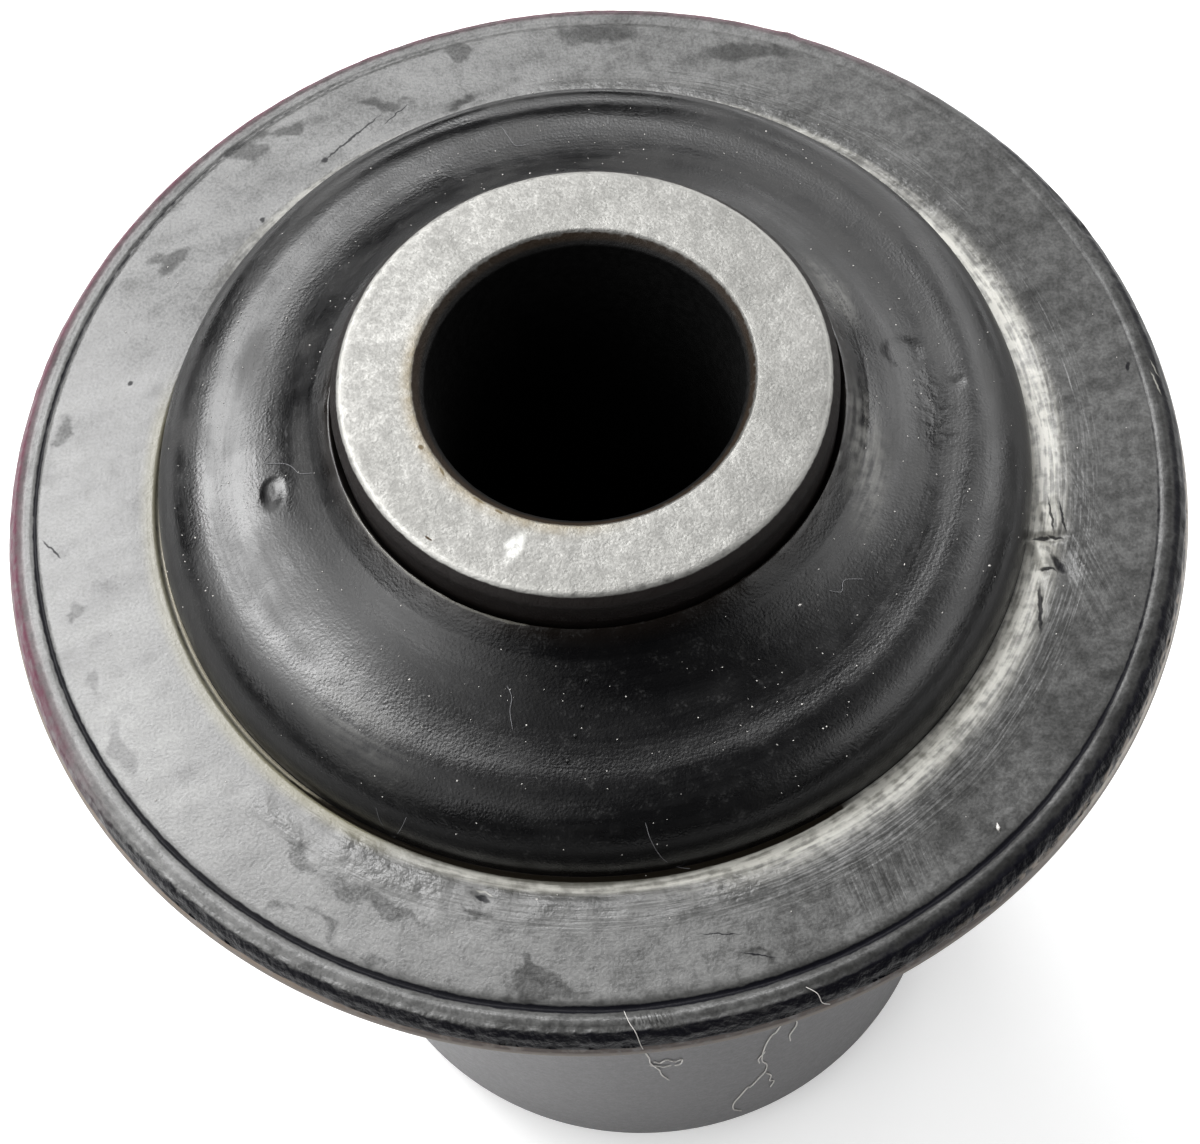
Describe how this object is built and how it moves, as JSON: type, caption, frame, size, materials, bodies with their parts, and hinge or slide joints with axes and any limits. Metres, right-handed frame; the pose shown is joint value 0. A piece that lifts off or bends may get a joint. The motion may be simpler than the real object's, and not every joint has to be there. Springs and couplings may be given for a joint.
{
  "type": "rubber metal bush",
  "caption": "Flanged rubber and metal mounting bush: a thick steel sleeve for a bolt, bonded by rubber into a drawn steel shell with a turned-out flange.",
  "frame": {"origin": "on the bore axis, at the lower face of the inner sleeve", "axes": "+Z along the bore axis towards the flanged end; X and Y are radial"},
  "size_m": [0.0564, 0.0564, 0.0675],
  "materials": {
    "sleeve_steel": "faced end, satin with a fine grain; side wall browned and dark",
    "shell_steel": "drawn sheet, dull grey, smooth, with a thin brown edge at the flange",
    "black_rubber": "satin black on the cone, grey bloom and scuffs on the flange pad"
  },
  "bodies": {
    "root": {"inner_sleeve": "sleeve_steel", "outer_shell": "shell_steel", "rubber_body": "black_rubber"}
  },
  "joints": []
}
